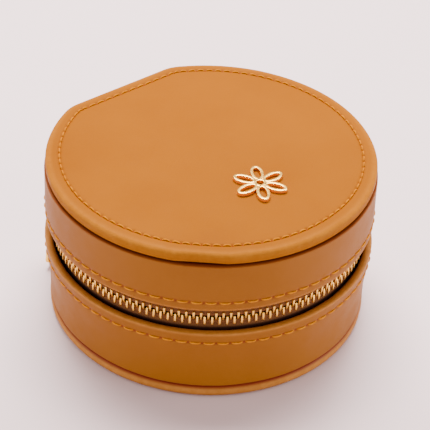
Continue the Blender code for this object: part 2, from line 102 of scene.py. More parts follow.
# The rim outline: a circle, two rounded corners and the flat.
CORNER_Y = FLAT_Y - CORNER_RADIUS
CORNER_X = math.sqrt((RIM_RADIUS - CORNER_RADIUS) ** 2 - CORNER_Y ** 2)
CORNER_START = math.atan2(CORNER_Y, CORNER_X)
ARC_RUN = RIM_RADIUS * (math.pi / 2 + CORNER_START)
CORNER_RUN = CORNER_RADIUS * (math.pi / 2 - CORNER_START)
HALF_RUN = ARC_RUN + CORNER_RUN + CORNER_X

# Stitches: spacing round the case, and steps of a leather mesh for each.
TOP_STITCHES = 100
BAND_STITCHES = 78
STEPS_PER_STITCH = 6
TOP_STITCH_INSET = 4.5
UPPER_STITCH_Z = 39.1
LOWER_STITCH_Z = 23.4
UPPER_EDGE = LID_WALL_BOTTOM + 0.9
LOWER_EDGE = BASE_WALL_TOP
FLAT_CUT_MIDDLE = -39.2
FLAT_CUT_HALF = 7.8

# Zip teeth.
TOOTH_WIDTH = 0.66
TOOTH_DEPTH = 1.5
TOOTH_LOW = 2.25
TOOTH_TIP = 0.6
TOOTH_PITCH = 2.32

# Slider and pull. The slider's own axes are X along the wall, Y outward and Z up.
SLIDER_ANGLE = 120.0
SLIDER_FACE = RIM_RADIUS - 0.75
SLIDER_BACK = RIM_RADIUS - 4.5
BRIDGE_RADIUS = 55.6
RING_MAJOR = 2.9
RING_WIRE = 0.6
RING_DROP = 1.1
RING_TILT = -3.5
TAB_LEAN = 20.0
TAB_LENGTH = 27.0
TAB_HALF_WIDTH = 2.5
TAB_THICKNESS = 1.4
TAB_END_RADIUS = 1.5

# Ornament.
PETAL_COUNT = 6
ORNAMENT_REACH = 8.8
PETAL_INNER = 1.3
PETAL_HALF_WIDTH = 2.1
CORE_RADIUS = 2.1

# Hinge leather: half its size and where its seams run.
HINGE_HALF_X = 17.5
HINGE_HALF_Z = 11.2
HINGE_SEAM_X = 15.6
HINGE_SEAM_Z = 9.3

# Mirror surround.
MIRROR_VIEW = 32.0
MIRROR_SEAT = 34.3
MIRROR_SEAT_Z = 49.3
PIPING_Z = 48.5
PIPING_RADIUS = 0.55

# Ring rolls, and how far stuffing may move their covers. The solver needs the cloth larger than it is.
ROLL_RADIUS = 5.2
ROLL_MOVE = 1.6
ROLL_END_SWELL = 0.25
ROLL_TOP_SWELL = 0.9
SIM_SCALE = 20.0
SIM_FRAMES = 20


def rim_at(s):
    """The point on the rim outline at s, and the outline's outward normal there."""
    s = (s + HALF_RUN) % (2 * HALF_RUN) - HALF_RUN
    side = 1 if s >= 0 else -1
    run = abs(s)
    if run < ARC_RUN:
        angle = run / RIM_RADIUS - math.pi / 2
        normal = (math.cos(angle), math.sin(angle))
        point = (RIM_RADIUS * normal[0], RIM_RADIUS * normal[1])
    elif run < ARC_RUN + CORNER_RUN:
        angle = CORNER_START + (run - ARC_RUN) / CORNER_RADIUS
        normal = (math.cos(angle), math.sin(angle))
        point = (CORNER_X + CORNER_RADIUS * normal[0], CORNER_Y + CORNER_RADIUS * normal[1])
    else:
        normal = (0.0, 1.0)
        point = (CORNER_X - (run - ARC_RUN - CORNER_RUN), FLAT_Y)
    return Vector((side * point[0], point[1], 0)), Vector((side * normal[0], normal[1], 0))


def wall_point(s, inset, z):
    point, normal = rim_at(s)
    return point - normal * inset + Vector((0, 0, z))


def s_of_angle(degrees):
    """s at a polar angle of the round part of the wall, counted anticlockwise from +X."""
    turn = (degrees + 90) % 360
    return RIM_RADIUS * math.radians(turn if turn <= 180 else turn - 360)


def bump(value, centre, width):
    """A smooth hill of height 1 at centre, 0 beyond width."""
    distance = abs(value - centre) / width
    return 0.0 if distance >= 1 else 0.5 + 0.5 * math.cos(math.pi * distance)


def wander(s, z, size, seed):
    """Smooth noise on the wall, from -1 to 1, for hand-made unevenness."""
    point, _ = rim_at(s)
    return noise.noise(Vector((point.x / size + seed, point.y / size, z / size)))


# ---- materials

# Direction from the case towards the camera, along which the floor's painted shade darkens.
TOWARDS_CAMERA = (-0.656, -0.755, 0.0)


def srgb(red, green, blue):
    def linear(value):
        value /= 255
        return value / 12.92 if value <= 0.04045 else ((value + 0.055) / 1.055) ** 2.4

    return linear(red), linear(green), linear(blue), 1.0


class Nodes:
    """A short way to write a material's node tree."""

    def __init__(self, name):
        self.material = bpy.data.materials.new(name)
        self.material.use_nodes = True
        self.tree = self.material.node_tree
        self.shader = self.tree.nodes["Principled BSDF"]

    def add(self, kind, settings=None, **inputs):
        node = self.tree.nodes.new(kind)
        for name, value in (settings or {}).items():
            setattr(node, name, value)
        for name, value in inputs.items():
            self.feed(node.inputs[name.replace("_", " ")], value)
        return node

    def feed(self, socket, value):
        if isinstance(value, bpy.types.NodeSocket):
            self.tree.links.new(value, socket)
        else:
            socket.default_value = value

    def shade(self, **inputs):
        for name, value in inputs.items():
            self.feed(self.shader.inputs[name.replace("_", " ")], value)

    def place(self):
        return self.add("ShaderNodeTexCoord").outputs["Object"]

    def noise(self, scale, detail=3.0, roughness=0.5, vector=None):
        vector = vector or self.place()
        found = self.add("ShaderNodeTexNoise", Vector=vector, Scale=scale, Detail=detail, Roughness=roughness)
        return found.outputs["Fac"]

    def ramp(self, value, low, high, out_low=0.0, out_high=1.0):
        node = self.add("ShaderNodeMapRange", Value=value)
        ends = {"From Min": low, "From Max": high, "To Min": out_low, "To Max": out_high}
        for name, number in ends.items():
            node.inputs[name].default_value = number
        return node.outputs["Result"]

    def mix(self, factor, first, second, blend="MIX"):
        node = self.add("ShaderNodeMix", {"data_type": "RGBA", "blend_type": blend})
        self.feed(node.inputs[0], factor)
        self.feed(node.inputs[6], first)
        self.feed(node.inputs[7], second)
        return node.outputs[2]

    def math(self, operation, first, second):
        node = self.add("ShaderNodeMath", {"operation": operation})
        self.feed(node.inputs[0], first)
        self.feed(node.inputs[1], second)
        return node.outputs[0]

    def attribute(self, name):
        return self.add("ShaderNodeAttribute", {"attribute_name": name}).outputs["Fac"]

    def bump(self, height, strength, distance, normal=None):
        node = self.add("ShaderNodeBump", Height=height, Strength=strength, Distance=distance)
        if normal:
            self.tree.links.new(normal, node.inputs["Normal"])
        return node.outputs["Normal"]


def leather_material(name, colour, dark, light, highlight_and_worn, shine):
    """Smooth finished calf: fine pebbled grain and faint mottling, with painted shade in dark red at the seams,
    folds, needle holes and floor contact, and lighter edges that are partly painted highlight and partly wear.
    """
    nodes = Nodes(name)
    mottle = nodes.ramp(nodes.noise(55.0, 4.0, 0.55), 0.35, 0.68)
    cloud = nodes.ramp(nodes.noise(18.0, 2.0), 0.3, 0.7)
    body = nodes.mix(nodes.math("MULTIPLY", mottle, 0.35), colour, dark)
    body = nodes.mix(nodes.math("MULTIPLY", cloud, 0.25), body, light)
    painted_shade = nodes.attribute("painted_shade")
    # Painted highlight and wear: this layer lightens the rolled rims, the bands' edges at the zip and the base
    # roll as painted highlight, and the hinge strip's edges as wear.
    wear = nodes.attribute("wear")
    highlight_and_rub = nodes.math("MULTIPLY", wear, nodes.ramp(nodes.noise(420.0, 4.0, 0.6), 0.35, 0.65, 0.55, 0.9))
    body = nodes.mix(highlight_and_rub, body, highlight_and_worn)
    # Painted shade: the leather is darkened towards dark red in folds, needle holes, gaps and where it meets the
    # floor.
    body = nodes.mix(nodes.math("MULTIPLY", painted_shade, 0.92), body, srgb(104, 14, 4))
    cells = nodes.add(
        "ShaderNodeTexVoronoi", {"feature": "DISTANCE_TO_EDGE"}, Vector=nodes.place(), Scale=1500.0
    ).outputs["Distance"]
    grain = nodes.ramp(cells, 0.0, 0.16)
    crease = nodes.noise(380.0, 5.0, 0.6)
    normal = nodes.bump(grain, 0.34, 0.00006)
    normal = nodes.bump(crease, 0.42, 0.00012, normal)
    rough = nodes.ramp(nodes.noise(160.0, 3.0), 0.3, 0.7, 0.46, 0.58)
    nodes.shade(Base_Color=body, Roughness=rough, Normal=normal)
    nodes.shade(Specular_IOR_Level=shine)
    return nodes.material


def suede_material(name, colour, light):
    """Brushed microsuede with cloudy nap."""
    nodes = Nodes(name)
    nap = nodes.ramp(nodes.noise(90.0, 5.0, 0.6), 0.38, 0.62)
    fibre = nodes.noise(2600.0, 2.0, 0.7)
    body = nodes.mix(nodes.math("MULTIPLY", nap, 0.5), colour, light)
    body = nodes.mix(nodes.ramp(fibre, 0.35, 0.65, 0.0, 0.35), body, light)
    normal = nodes.bump(fibre, 0.5, 0.0002)
    nodes.shade(Base_Color=body, Roughness=0.92, Normal=normal, Sheen_Weight=0.25, Sheen_Roughness=0.4)
    nodes.shade(Sheen_Tint=srgb(240, 205, 165), Specular_IOR_Level=0.1)
    return nodes.material


def metal_material(name, colour, dark, roughness, wear=0.25):
    """Polished metal with fine scuffs and a slightly darker tarnish in places."""
    nodes = Nodes(name)
    tarnish = nodes.ramp(nodes.noise(300.0, 4.0, 0.6), 0.45, 0.75, 0.0, wear)
    scuff = nodes.ramp(nodes.noise(900.0, 3.0, 0.7), 0.3, 0.7, roughness * 0.75, roughness * 1.35)
    normal = nodes.bump(nodes.noise(1800.0, 2.0), 0.06, 0.00005)
    nodes.shade(Base_Color=nodes.mix(tarnish, colour, dark), Roughness=scuff, Metallic=1.0, Normal=normal)
    return nodes.material


def tape_material(name, colour, dark):
    """Woven zip tape: fine ribs round the case crossed by a herringbone of threads."""
    nodes = Nodes(name)
    run = nodes.attribute("run")
    rise = nodes.attribute("rise")
    zigzag = nodes.math("PINGPONG", rise, 0.9)
    slant = nodes.math("ADD", run, zigzag)
    ribs = nodes.math("SINE", nodes.math("MULTIPLY", slant, 2 * math.pi / 0.62), 0.0)
    rows = nodes.math("SINE", nodes.math("MULTIPLY", rise, 2 * math.pi / 0.45), 0.0)
    weave = nodes.math("MULTIPLY_ADD", rows, 0.4)
    nodes.tree.links.new(ribs, weave.node.inputs[2])
    shade = nodes.ramp(weave, -1.4, 1.4)
    body = nodes.mix(shade, dark, colour)
    # Painted shade: the tape darkens towards near black where it runs in under the bands.
    body = nodes.mix(nodes.attribute("painted_shade"), body, srgb(44, 14, 6))
    relief = nodes.bump(weave, 0.6, 0.00010)
    nodes.shade(Base_Color=body, Roughness=0.8, Normal=relief, Specular_IOR_Level=0.1)
    return nodes.material


def thread_material(name, colour, light):
    """Waxed thread, two plies twisted together."""
    nodes = Nodes(name)
    fibre = nodes.ramp(nodes.noise(1400.0, 3.0, 0.6), 0.35, 0.65)
    nodes.shade(Base_Color=nodes.mix(fibre, colour, light), Roughness=0.7, Specular_IOR_Level=0.02)
    nodes.shade(Normal=nodes.bump(nodes.noise(3500.0, 2.0), 0.3, 0.00008))
    return nodes.material


def board_material(name):
    """Raw grey-brown fibre board."""
    nodes = Nodes(name)
    flecks = nodes.ramp(nodes.noise(900.0, 5.0, 0.7), 0.35, 0.65)
    body = nodes.mix(flecks, srgb(120, 104, 84), srgb(158, 140, 116))
    nodes.shade(Base_Color=body, Roughness=0.9, Normal=nodes.bump(flecks, 0.3, 0.0001))
    return nodes.material


def mirror_material(name):
    nodes = Nodes(name)
    smear = nodes.ramp(nodes.noise(60.0, 3.0), 0.4, 0.8, 0.01, 0.03)
    nodes.shade(Base_Color=(0.86, 0.88, 0.89, 1.0), Metallic=1.0, Roughness=smear)
    return nodes.material


def floor_material(name):
    nodes = Nodes(name)
    tone = nodes.ramp(nodes.noise(3.0, 2.0), 0.3, 0.7)
    pale = nodes.mix(tone, srgb(228, 202, 202), srgb(232, 205, 205))
    # Painted shade: the floor darkens towards the camera side, for the light falling off in front of the case.
    forward = nodes.add("ShaderNodeVectorMath", {"operation": "DOT_PRODUCT"})
    nodes.feed(forward.inputs[0], nodes.place())
    forward.inputs[1].default_value = TOWARDS_CAMERA
    near = nodes.ramp(forward.outputs["Value"], 0.0, 0.085)
    near.node.interpolation_type = "SMOOTHSTEP"
    nodes.shade(Base_Color=nodes.mix(near, pale, srgb(204, 176, 175)), Roughness=0.45)
    nodes.shade(Specular_IOR_Level=0.35)
    return nodes.material


# The top leather is a copy of the tan leather, its colour made a little darker and less blue for the brightly lit
# top: painted shade. Its lighter colour is used only as painted highlight on the lid's rim.
TOP_LEATHER = leather_material(
    "top_leather", srgb(129, 70, 2), srgb(119, 61, 1), srgb(152, 88, 6), srgb(158, 96, 22), 0.02
)
LEATHER = leather_material(
    "tan_leather", srgb(131, 76, 13), srgb(119, 66, 9), srgb(152, 94, 28), srgb(184, 118, 50), 0.10
)
SUEDE = suede_material("camel_suede", srgb(134, 96, 60), srgb(168, 130, 92))
BRASS = metal_material("zip_brass", srgb(238, 190, 92), srgb(196, 138, 54), 0.3)
GILT = metal_material("gilt_metal", srgb(246, 190, 92), srgb(222, 150, 56), 0.24, 0.15)
TAPE = tape_material("zip_tape", srgb(132, 84, 46), srgb(76, 40, 18))
# The top thread is a darker copy of the band thread: painted shade, since the top is lit more brightly.
TOP_THREAD = thread_material("top_thread", srgb(157, 88, 1), srgb(176, 104, 5))
BAND_THREAD = thread_material("band_thread", srgb(182, 106, 6), srgb(200, 126, 18))
BOARD = board_material("fibre_board")
MIRROR = mirror_material("mirror_glass")

MATERIAL_OF_SLOT = {
    "tan_leather": LEATHER,
    "fibre_board": BOARD,
    "suede_lining": SUEDE,
    "zip_tape": TAPE,
    "brass": BRASS,
    "gilt_metal": GILT,
    "mirror_glass": MIRROR,
}
SLOT_OF_MATERIAL = {material.name: slot for slot, material in MATERIAL_OF_SLOT.items()}
for material in (TOP_LEATHER, TOP_THREAD, BAND_THREAD):
    SLOT_OF_MATERIAL[material.name] = "tan_leather"


# ---- mesh helpers


def add_object(name, data):
    added = bpy.data.objects.new(name, data)
    bpy.context.scene.collection.objects.link(added)
    return added


def finish_piece(name, bm, material, body=None, stands_for=(), smooth_angle=40):
    """Turn an edited mesh, in millimetres, into a piece that rides on a body."""
    bmesh.ops.recalc_face_normals(bm, faces=bm.faces)
    bm.transform(Matrix.Scale(MM, 4))
    mesh = bpy.data.meshes.new(name)
    bm.to_mesh(mesh)
    bm.free()
    mesh.materials.append(material)
    mesh.shade_smooth()
    mesh.set_sharp_from_angle(angle=math.radians(smooth_angle))
    piece = add_object(name, mesh)
    if body:
        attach(piece, body)
    if stands_for:
        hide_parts(*stands_for)
    return piece


def new_mesh(*layers):
    """An empty editable mesh with the named number layers on its points."""
    bm = bmesh.new()
    return bm, {name: bm.verts.layers.float.new(name) for name in layers}


def skin(bm, rows, closed_row=True, closed_stack=False):
    """Quads between rows of points."""
    stack = list(zip(rows, rows[1:] + (rows[:1] if closed_stack else [])))
    for first, second in stack:
        count = len(first)
        for i in range(count if closed_row else count - 1):
            j = (i + 1) % count
            bm.faces.new((first[i], first[j], second[j], second[i]))


def arc_points(centre, radius, start, end, steps):
    angles = [math.radians(start + (end - start) * i / steps) for i in range(steps + 1)]
    return [(centre[0] + radius * math.cos(a), centre[1] + radius * math.sin(a)) for a in angles]


def arc_profile(inset, z, radius, start, end, steps):
    """(inset, z) points on an arc. 0 degrees points outward and 90 up."""
    return [(2 * inset - x, y) for x, y in arc_points((inset, z), radius, start, end, steps)]


def sweep(name, profile, count, material, shape=None, layers=None, centre=None, span=None, **piece):
    """A piece whose (inset, z) profile runs round the case.

    shape moves a point, and layers gives its painted shade and its wear, which on the rims and band edges is
    painted highlight. centre holds what closes the first and the last row over the middle. span is a stretch of s,
    for a piece that doesn't go all the way round.
    """
    bm, layer = new_mesh("painted_shade", "wear", "run", "rise")
    low, high = span or (-HALF_RUN, HALF_RUN)
    steps = count if span else count - 1
    stations = [low + (high - low) * i / (steps if span else count) for i in range(steps + 1)]
    rows = []
    rise = 0.0
    for k, (inset, z) in enumerate(profile):
        if k:
            rise += math.dist((inset, z), profile[k - 1])
        row = []
        for s in stations:
            moved = shape(s, inset, z) if shape else (inset, z)
            # Painted shade and painted highlight are stored on each point for the leather and tape materials.
            painted_shade, wear = layers(s, inset, z) if layers else (0.0, 0.0)
            vert = bm.verts.new(wall_point(s, *moved))
            vert[layer["painted_shade"]] = painted_shade
            vert[layer["wear"]] = wear
            vert[layer["run"]] = s
            vert[layer["rise"]] = rise
            row.append(vert)
        rows.append(row)
    skin(bm, rows, closed_row=not span, closed_stack=centre is None)
    if span:
        bm.faces.new([row[0] for row in rows])
        bm.faces.new([row[-1] for row in rows])
    if centre is not None:
        for end, closing in ((rows[0], centre[0]), (rows[-1], centre[1])):
            close_over(bm, end, closing)
    return finish_piece(name, bm, material, **piece)


def grid(bm, rows, columns, point):
    """Rows of points. point gives the place of a row's and a column's number."""
    return [[bm.verts.new(point(i, j)) for j in range(columns)] for i in range(rows)]


def bar(bm, rings):
    """A bar through closed rings, with both ends shut."""
    skin(bm, rings)
    bm.faces.new(rings[0])
    bm.faces.new(rings[-1])


def close_over(bm, edge, closing):
    """Rows that shrink towards the axis, at the given (share of the edge's size, z), then a middle point."""
    rows = [edge]
    start_z = sum(v.co.z for v in edge) / len(edge)
    for share, z in closing:
        row = []
        for vert in edge:
            offset = (vert.co.z - start_z) * share
            row.append(bm.verts.new((vert.co.x * share, vert.co.y * share, z + offset)))
        rows.append(row)
    skin(bm, rows)
    middle = bm.verts.new((0, 0, closing[-1][1]))
    last = rows[-1]
    for i in range(len(last)):
        bm.faces.new((last[i], last[(i + 1) % len(last)], middle))


def tube(bm, points, radii, sides=8, twist=0.0, lobes=0.0):
    """A closed tube through points, tapering to its end radii. lobes and twist give it two plies."""
    rings = []
    for k, point in enumerate(points):
        before = points[max(k - 1, 0)]
        after = points[min(k + 1, len(points) - 1)]
        along = (after - before).normalized()
        side = along.orthogonal() if abs(along.z) > 0.95 else along.cross(Vector((0, 0, 1)))
        side.normalize()
        other = along.cross(side)
        ring = []
        for j in range(sides):
            angle = 2 * math.pi * j / sides
            radius = radii[k] * (1 + lobes * math.cos(2 * angle - twist * k))
            offset = (side * math.cos(angle) + other * math.sin(angle)) * radius
            ring.append(bm.verts.new(point + offset))
        rings.append(ring)
    bar(bm, rings)


def stitch_run(name, place, pitch, stitches, body, thread, radius=0.27, share=0.80):
    """Separate stitches. place turns a distance into a point on the leather, its normal and a way across."""
    bm, _ = new_mesh()
    rng = random.Random(name)
    for i in stitches:
        start = i * pitch + pitch * (1 - share) / 2
        slant = rng.uniform(-0.07, 0.07)
        points = []
        radii = []
        for k in range(9):
            t = k / 8
            spot, normal, across = place(start + pitch * share * t)
            lift = radius * (1.3 * math.sin(math.pi * t) ** 0.5 - 0.75) + rng.uniform(-0.01, 0.01)
            points.append(spot + normal * lift + across * slant * (2 * t - 1))
            radii.append(radius * (0.62 + 0.38 * math.sin(math.pi * t) ** 0.4))
        tube(bm, points, radii, 8, twist=0.9, lobes=0.10)
    return finish_piece(name, bm, thread, body, smooth_angle=80)


# ---- leather lid


def hand_cut(s):
    """How far the hand-cut rim wanders inward, with one stretch at the front cut almost straight."""
    straight = max(0.0, FLAT_CUT_HALF ** 2 - (s - FLAT_CUT_MIDDLE) ** 2) / (2 * RIM_RADIUS)
    return 0.10 + 0.14 * wander(s, 0, 30.0, 3.0) + 1.15 * straight


def pulled_in(s, count):
    """1 at a needle hole, 0 in the middle of a stitch, for a run with that many stitches round the case."""
    return abs(math.cos(math.pi * s * count / (2 * HALF_RUN))) ** 6


def lid_shape(s, inset, z):
    edge = max(0.0, 1 - inset / 9.0)
    moved = inset + hand_cut(s) * edge
    top = bump(z, HEIGHT, 1.6)
    groove = bump(inset, TOP_STITCH_INSET, 1.1) * top
    z -= groove * (0.16 + 0.36 * pulled_in(s, TOP_STITCHES))
    z += 0.10 * wander(s, z, 14.0, 9.0) * top * (1 if inset > 1 else 0.4)
    return moved, z


def lid_panel_profile():
    """Leather lid panel from its hollow underside, round the rolled edge and over the top."""
    low = PANEL_LOW.z
    high = HEIGHT - 0.12
    roll = arc_profile(1.3, low + 1.3, 1.3, -90, -5, 7) + arc_profile(1.35, high - 1.35, 1.35, 5, 90, 8)
    under = [(2.2, HEIGHT - 1.2), (2.2, low + 0.5), (2.2, low)]
    top = [(inset, high + 0.24 * min(1.0, (inset - 1.35) / 2.2)) for inset in (1.8, 2.4, 3.0, 3.5)]
    flat = [(3.4 + 0.28 * k, HEIGHT + 0.08) for k in range(1, 9)]
    return under + roll + top + flat + [(6.4, HEIGHT + 0.10), (7.4, HEIGHT + 0.12), (8.6, HEIGHT + 0.13)]


def rim_layers(inset, z, low, high):
    """Painted shade in the fold against the band, and painted highlight along the outermost edge of the roll and
    along its lower edge, kept as wear.
    """
    painted_shade = bump(z, low, 0.45) if inset < 4 else 0.0
    # Painted highlight on the upper part of the roll.
    wear = bump(z, high - 0.9, 1.5) * min(1.0, max(0.0, (2.6 - inset) / 1.2))
    # Painted highlight along the roll's lower edge.
    lip_highlight = 0.8 * bump(z, low + 0.9, 0.6) if inset < 1.0 else 0.0
    return painted_shade, max(wear, lip_highlight)


def lid_layers(s, inset, z):
    painted_shade, wear = rim_layers(inset, z, PANEL_LOW.z, HEIGHT)
    # Painted shade in the needle holes of the top stitching.
    hole = pulled_in(s, TOP_STITCHES) * bump(inset, TOP_STITCH_INSET, 0.55)
    return max(painted_shade, hole), wear


def make_lid_panel():
    crown = [(1 - 0.1 * k, HEIGHT + 0.13 + 0.12 * (k / 9)) for k in range(1, 10)]
    under = [(0.66, HEIGHT - 1.2), (0.33, HEIGHT - 1.2)]
    sweep(
        "lid_panel_leather", lid_panel_profile(), TOP_STITCHES * STEPS_PER_STITCH, TOP_LEATHER, lid_shape,
        lid_layers, centre=(under, crown), body="lid", stands_for=["lid_panel"],
    )
    pitch = 2 * HALF_RUN / TOP_STITCHES

    def place(s):
        inset, z = lid_shape(s, TOP_STITCH_INSET, HEIGHT + 0.08)
        spot = wall_point(s, inset, z + 0.16)
        _, normal = rim_at(s)
        return spot, Vector((0, 0, 1)), normal

    half = TOP_STITCHES // 2
    stitch_run("lid_top_stitches", place, pitch, range(-half, half), "lid", TOP_THREAD)


# ---- wall bands


def away_from_hinge(s):
    """0 behind the hinge leather, 1 round the rest of the wall."""
    share = min(1.0, max(0.0, (HALF_RUN - 19.5 - abs(s)) / 7.0))
    return share * share * (3 - 2 * share)


def band_shape(stitch_z, flare_z, out, flare, seed):
    """Movement of a band's surface: padded out, creased, grooved by its stitches and flared at the zip."""
    def shape(s, inset, z):
        outer = inset < BAND_INSET + 0.5
        free = away_from_hinge(s)
        groove = bump(z, stitch_z, 1.3) * (0.08 + 0.40 * pulled_in(s, BAND_STITCHES)) if outer else 0.0
        crease = 0.09 * wander(s, z * 0.35, 9.0, seed) + 0.12 * wander(s, z, 26.0, seed + 5)
        depth = min(1.0, max(0.0, (inset - BAND_INSET - 0.3) / (BAND_THICKNESS - 0.3)))
        far = out + flare * bump(z, flare_z, 16.0) - LIP_THICKENING * depth
        rows = 0.12 * wander(s, 0, 12.0, seed + 2) * bump(z, flare_z, 2.0)
        return inset + (groove + crease - far) * free, z + rows * free

    return shape


def band_profile(low, high):
    """Closed section of a leather band with softly rounded edges."""
    outside = BAND_INSET
    inside = BAND_INSET + BAND_THICKNESS
    radius = 0.45
    profile = arc_profile(outside + radius, low + radius, radius, -90, 0, 4)
    steps = max(8, int((high - low) / 0.6))
    profile += [(outside, low + radius + (high - low - 2 * radius) * k / steps) for k in range(1, steps)]
    profile += arc_profile(outside + radius, high - radius, radius, 0, 90, 4)
    profile += [(inside - 0.35, high), (inside - 0.12, high - 0.2)]
    down = [high - 0.6, high - 1.6, (low + high) / 2, low + 1.6, low + 0.6]
    return profile + [(inside, z) for z in down] + [(inside - 0.2, low)]


def make_band(name, node, body, low, high, stitch_z, flare_z, out, flare, seed):
    shape = band_shape(stitch_z, flare_z, out, flare, seed)

    def layers(s, inset, z):
        # Painted shade at the band's folded edge, in its needle holes and over its inner face; painted highlight
        # along its edge at the zip, kept as wear.
        folded = low if flare_z == high else high
        hole = pulled_in(s, BAND_STITCHES) * bump(z, stitch_z, 0.6)
        inside = 0.0
        if inset > BAND_INSET + 0.5:
            inside = min(1.0, 0.15 + 0.55 * abs(z - flare_z))
        return max(0.6 * bump(z, folded, 0.4), hole, inside), 0.8 * bump(z, flare_z, 0.9) * (1 - inside)

    sweep(
        name, band_profile(low, high), BAND_STITCHES * STEPS_PER_STITCH, LEATHER, shape, layers, body=body,
        stands_for=[node],
    )
    pitch = 2 * HALF_RUN / BAND_STITCHES

    def place(s):
        inset, z = shape(s, BAND_INSET, stitch_z)
        _, normal = rim_at(s)
        return wall_point(s, inset - 0.03, z), normal, Vector((0, 0, 1))

    half = BAND_STITCHES // 2
    stitches = [i for i in range(-half, half) if abs((i + 0.5) * pitch) < HALF_RUN - 20]
    stitch_run(name + "_stitches", place, pitch, stitches, body, BAND_THREAD)


def make_base_panel():
    low, high = BASE_LOW.z, BASE_HIGH.z
    roll = arc_profile(2.0, 2.25, 2.0, 90, -90, 14)
    roll = [(inset, max(0.0, (z - 0.25) * high / 4.0)) for inset, z in roll]
    profile = [(2.2, 1.0), (2.2, high - 0.3), (2.15, high)] + roll
    profile += [(3.0, low), (4.5, low + 0.02), (6.0, low + 0.02), (8.0, low)]
    flat = [(0.8, low), (0.5, low), (0.2, low)]
    inner = [(0.66, 1.0), (0.33, 1.0)]

    def shape(s, inset, z):
        edge = max(0.0, 1 - inset / 6.0)
        return inset + edge * (0.14 + 0.12 * wander(s, 0, 24.0, 14.0)), z

    def layers(s, inset, z):
        # Painted shade in the fold and along the join above the roll, and a painted contact shadow where the base
        # meets the floor; painted highlight on the upper half of the roll, kept as wear.
        painted_shade, _ = rim_layers(inset, HEIGHT - z, HEIGHT - high, HEIGHT)
        painted_shade = max(painted_shade, bump(z, high - 0.4, 0.9)) if inset < 2 else painted_shade
        contact_shade = 0.8 * bump(z, 0.0, 0.5)
        return max(painted_shade, contact_shade), 0.75 * bump(z, high * 0.55, high * 0.6) if inset < 2.5 else 0.0

    sweep(
        "base_panel_leather", profile, 360, LEATHER, shape, layers, centre=(inner, flat), body="base",
        stands_for=["base_panel"],
    )


# ---- zip


def tooth_mesh():
    """One zip tooth standing on its legs at the origin: X along the zip, Y outward and Z towards the head."""
    bm = bmesh.new()
    length = TOOTH_LOW + TOOTH_TIP
    bmesh.ops.create_cube(bm, size=1.0)
    for vert in bm.verts:
        vert.co = Vector((vert.co.x * TOOTH_WIDTH, vert.co.y * TOOTH_DEPTH, (vert.co.z + 0.5) * length))
    upright = [e for e in bm.edges if abs(e.verts[0].co.z - e.verts[1].co.z) > 0.1]
    bmesh.ops.subdivide_edges(bm, edges=upright, cuts=3)
    for vert in bm.verts:
        share = vert.co.z / length
        head = max(0.0, (share - 0.5) / 0.5)
        vert.co.y *= 1.0 - 0.35 * head
        vert.co.x *= 1.0 + 0.10 * (1 - share) - 0.08 * head
    bmesh.ops.bevel(
        bm, geom=list(bm.edges), offset=0.13, segments=2, profile=0.6, affect="EDGES", clamp_overlap=True
    )
    return bm


def teeth_row(name, node, body, side):
    """The row of brass teeth. side is -1 for the lower row, whose heads point up, and 1 for the upper one."""
    tooth = tooth_mesh()
    shape = [v.co.copy() for v in tooth.verts]
    faces = [[v.index for v in f.verts] for f in tooth.faces]
    tooth.free()
    count, first, pitch = teeth_places()
    bm, _ = new_mesh()
    rng = random.Random(name)
    foot = ZIP_Z + side * TOOTH_LOW
    for i in range(count):
        s = first + (i + 0.25 + (0.5 if side > 0 else 0.0)) * pitch
        point, normal = rim_at(s)
        along = Vector((-normal.y, normal.x, 0))
        lean = rng.uniform(-0.03, 0.03)
        grow = 1 + rng.uniform(-0.02, 0.02)
        verts = []
        for co in shape:
            z = -side * co.z
            x = co.x * grow + lean * z
            spot = point - normal * (TEETH_INSET - co.y) + along * x + Vector((0, 0, foot + z))
            verts.append(bm.verts.new(spot))
        for face in faces:
            bm.faces.new([verts[k] for k in face])
    return finish_piece(name, bm, BRASS, body, [node], 60)


def teeth_places():
    """How many teeth a row has, s of the first one and their spacing."""
    slider = s_of_angle(SLIDER_ANGLE)
    first = slider + 1.6
    travel = next(joint["range_deg"][1] for joint in frame["joints"] if joint["name"] == "slider_travel")
    last = first + math.radians(travel) * RIM_RADIUS + 2.6
    count = int((last - first) / TOOTH_PITCH)
    return count, first, (last - first) / count


def make_tapes():
    """The two woven tapes, each with a corded edge that the teeth grip."""
    reach = HALF_RUN - 12.0
    middle = TAPE_INSET + 0.25
    for name, node, body, side, shade in (
        ("lower_woven_tape", "lower_zip_tape", "base", -1, 1.0),
        ("upper_woven_tape", "upper_zip_tape", "lid", 1, 0.3),
    ):
        cord = [
            (middle - 0.7 * math.cos(a), ZIP_Z + side * (1.45 - 0.8 * math.sin(a)))
            for a in [math.radians(-60 + 300 * k / 10) for k in range(11)]
        ]
        edge = ZIP_Z + side * 10.5
        outer = [(middle - 0.25, ZIP_Z + side * z) for z in (9.0, 7.0, 5.5, 4.6, 4.0, 3.4, 2.7)]
        inner = [(middle + 0.25, ZIP_Z + side * z) for z in (2.7, 3.4, 4.0, 5.5, 7.5, 9.0)]

        # Painted shade: the tape darkens towards near black where it runs in under the bands, fully on the lower
        # tape and partly on the upper one.
        def layers(s, inset, z, shade=shade):
            return shade * min(1.0, max(0.0, (abs(z - ZIP_Z) - 3.3) / 0.8)), 0.0

        profile = [(middle - 0.25, edge)] + outer + cord + inner + [(middle + 0.25, edge)]
        sweep(
            name, profile, 420, TAPE, None, layers,
            span=(-reach, reach), body=body, stands_for=[node], smooth_angle=60,
        )


def make_zip():
    make_tapes()
    teeth_row("lower_brass_teeth", "lower_zip_teeth", "base", -1)
    teeth_row("upper_brass_teeth", "upper_zip_teeth", "lid", 1)


# ---- slider and pull


def slider_frame():
    """Matrix from the slider's own axes to the case's."""
    return Matrix.Rotation(math.radians(SLIDER_ANGLE - 90), 4, "Z")


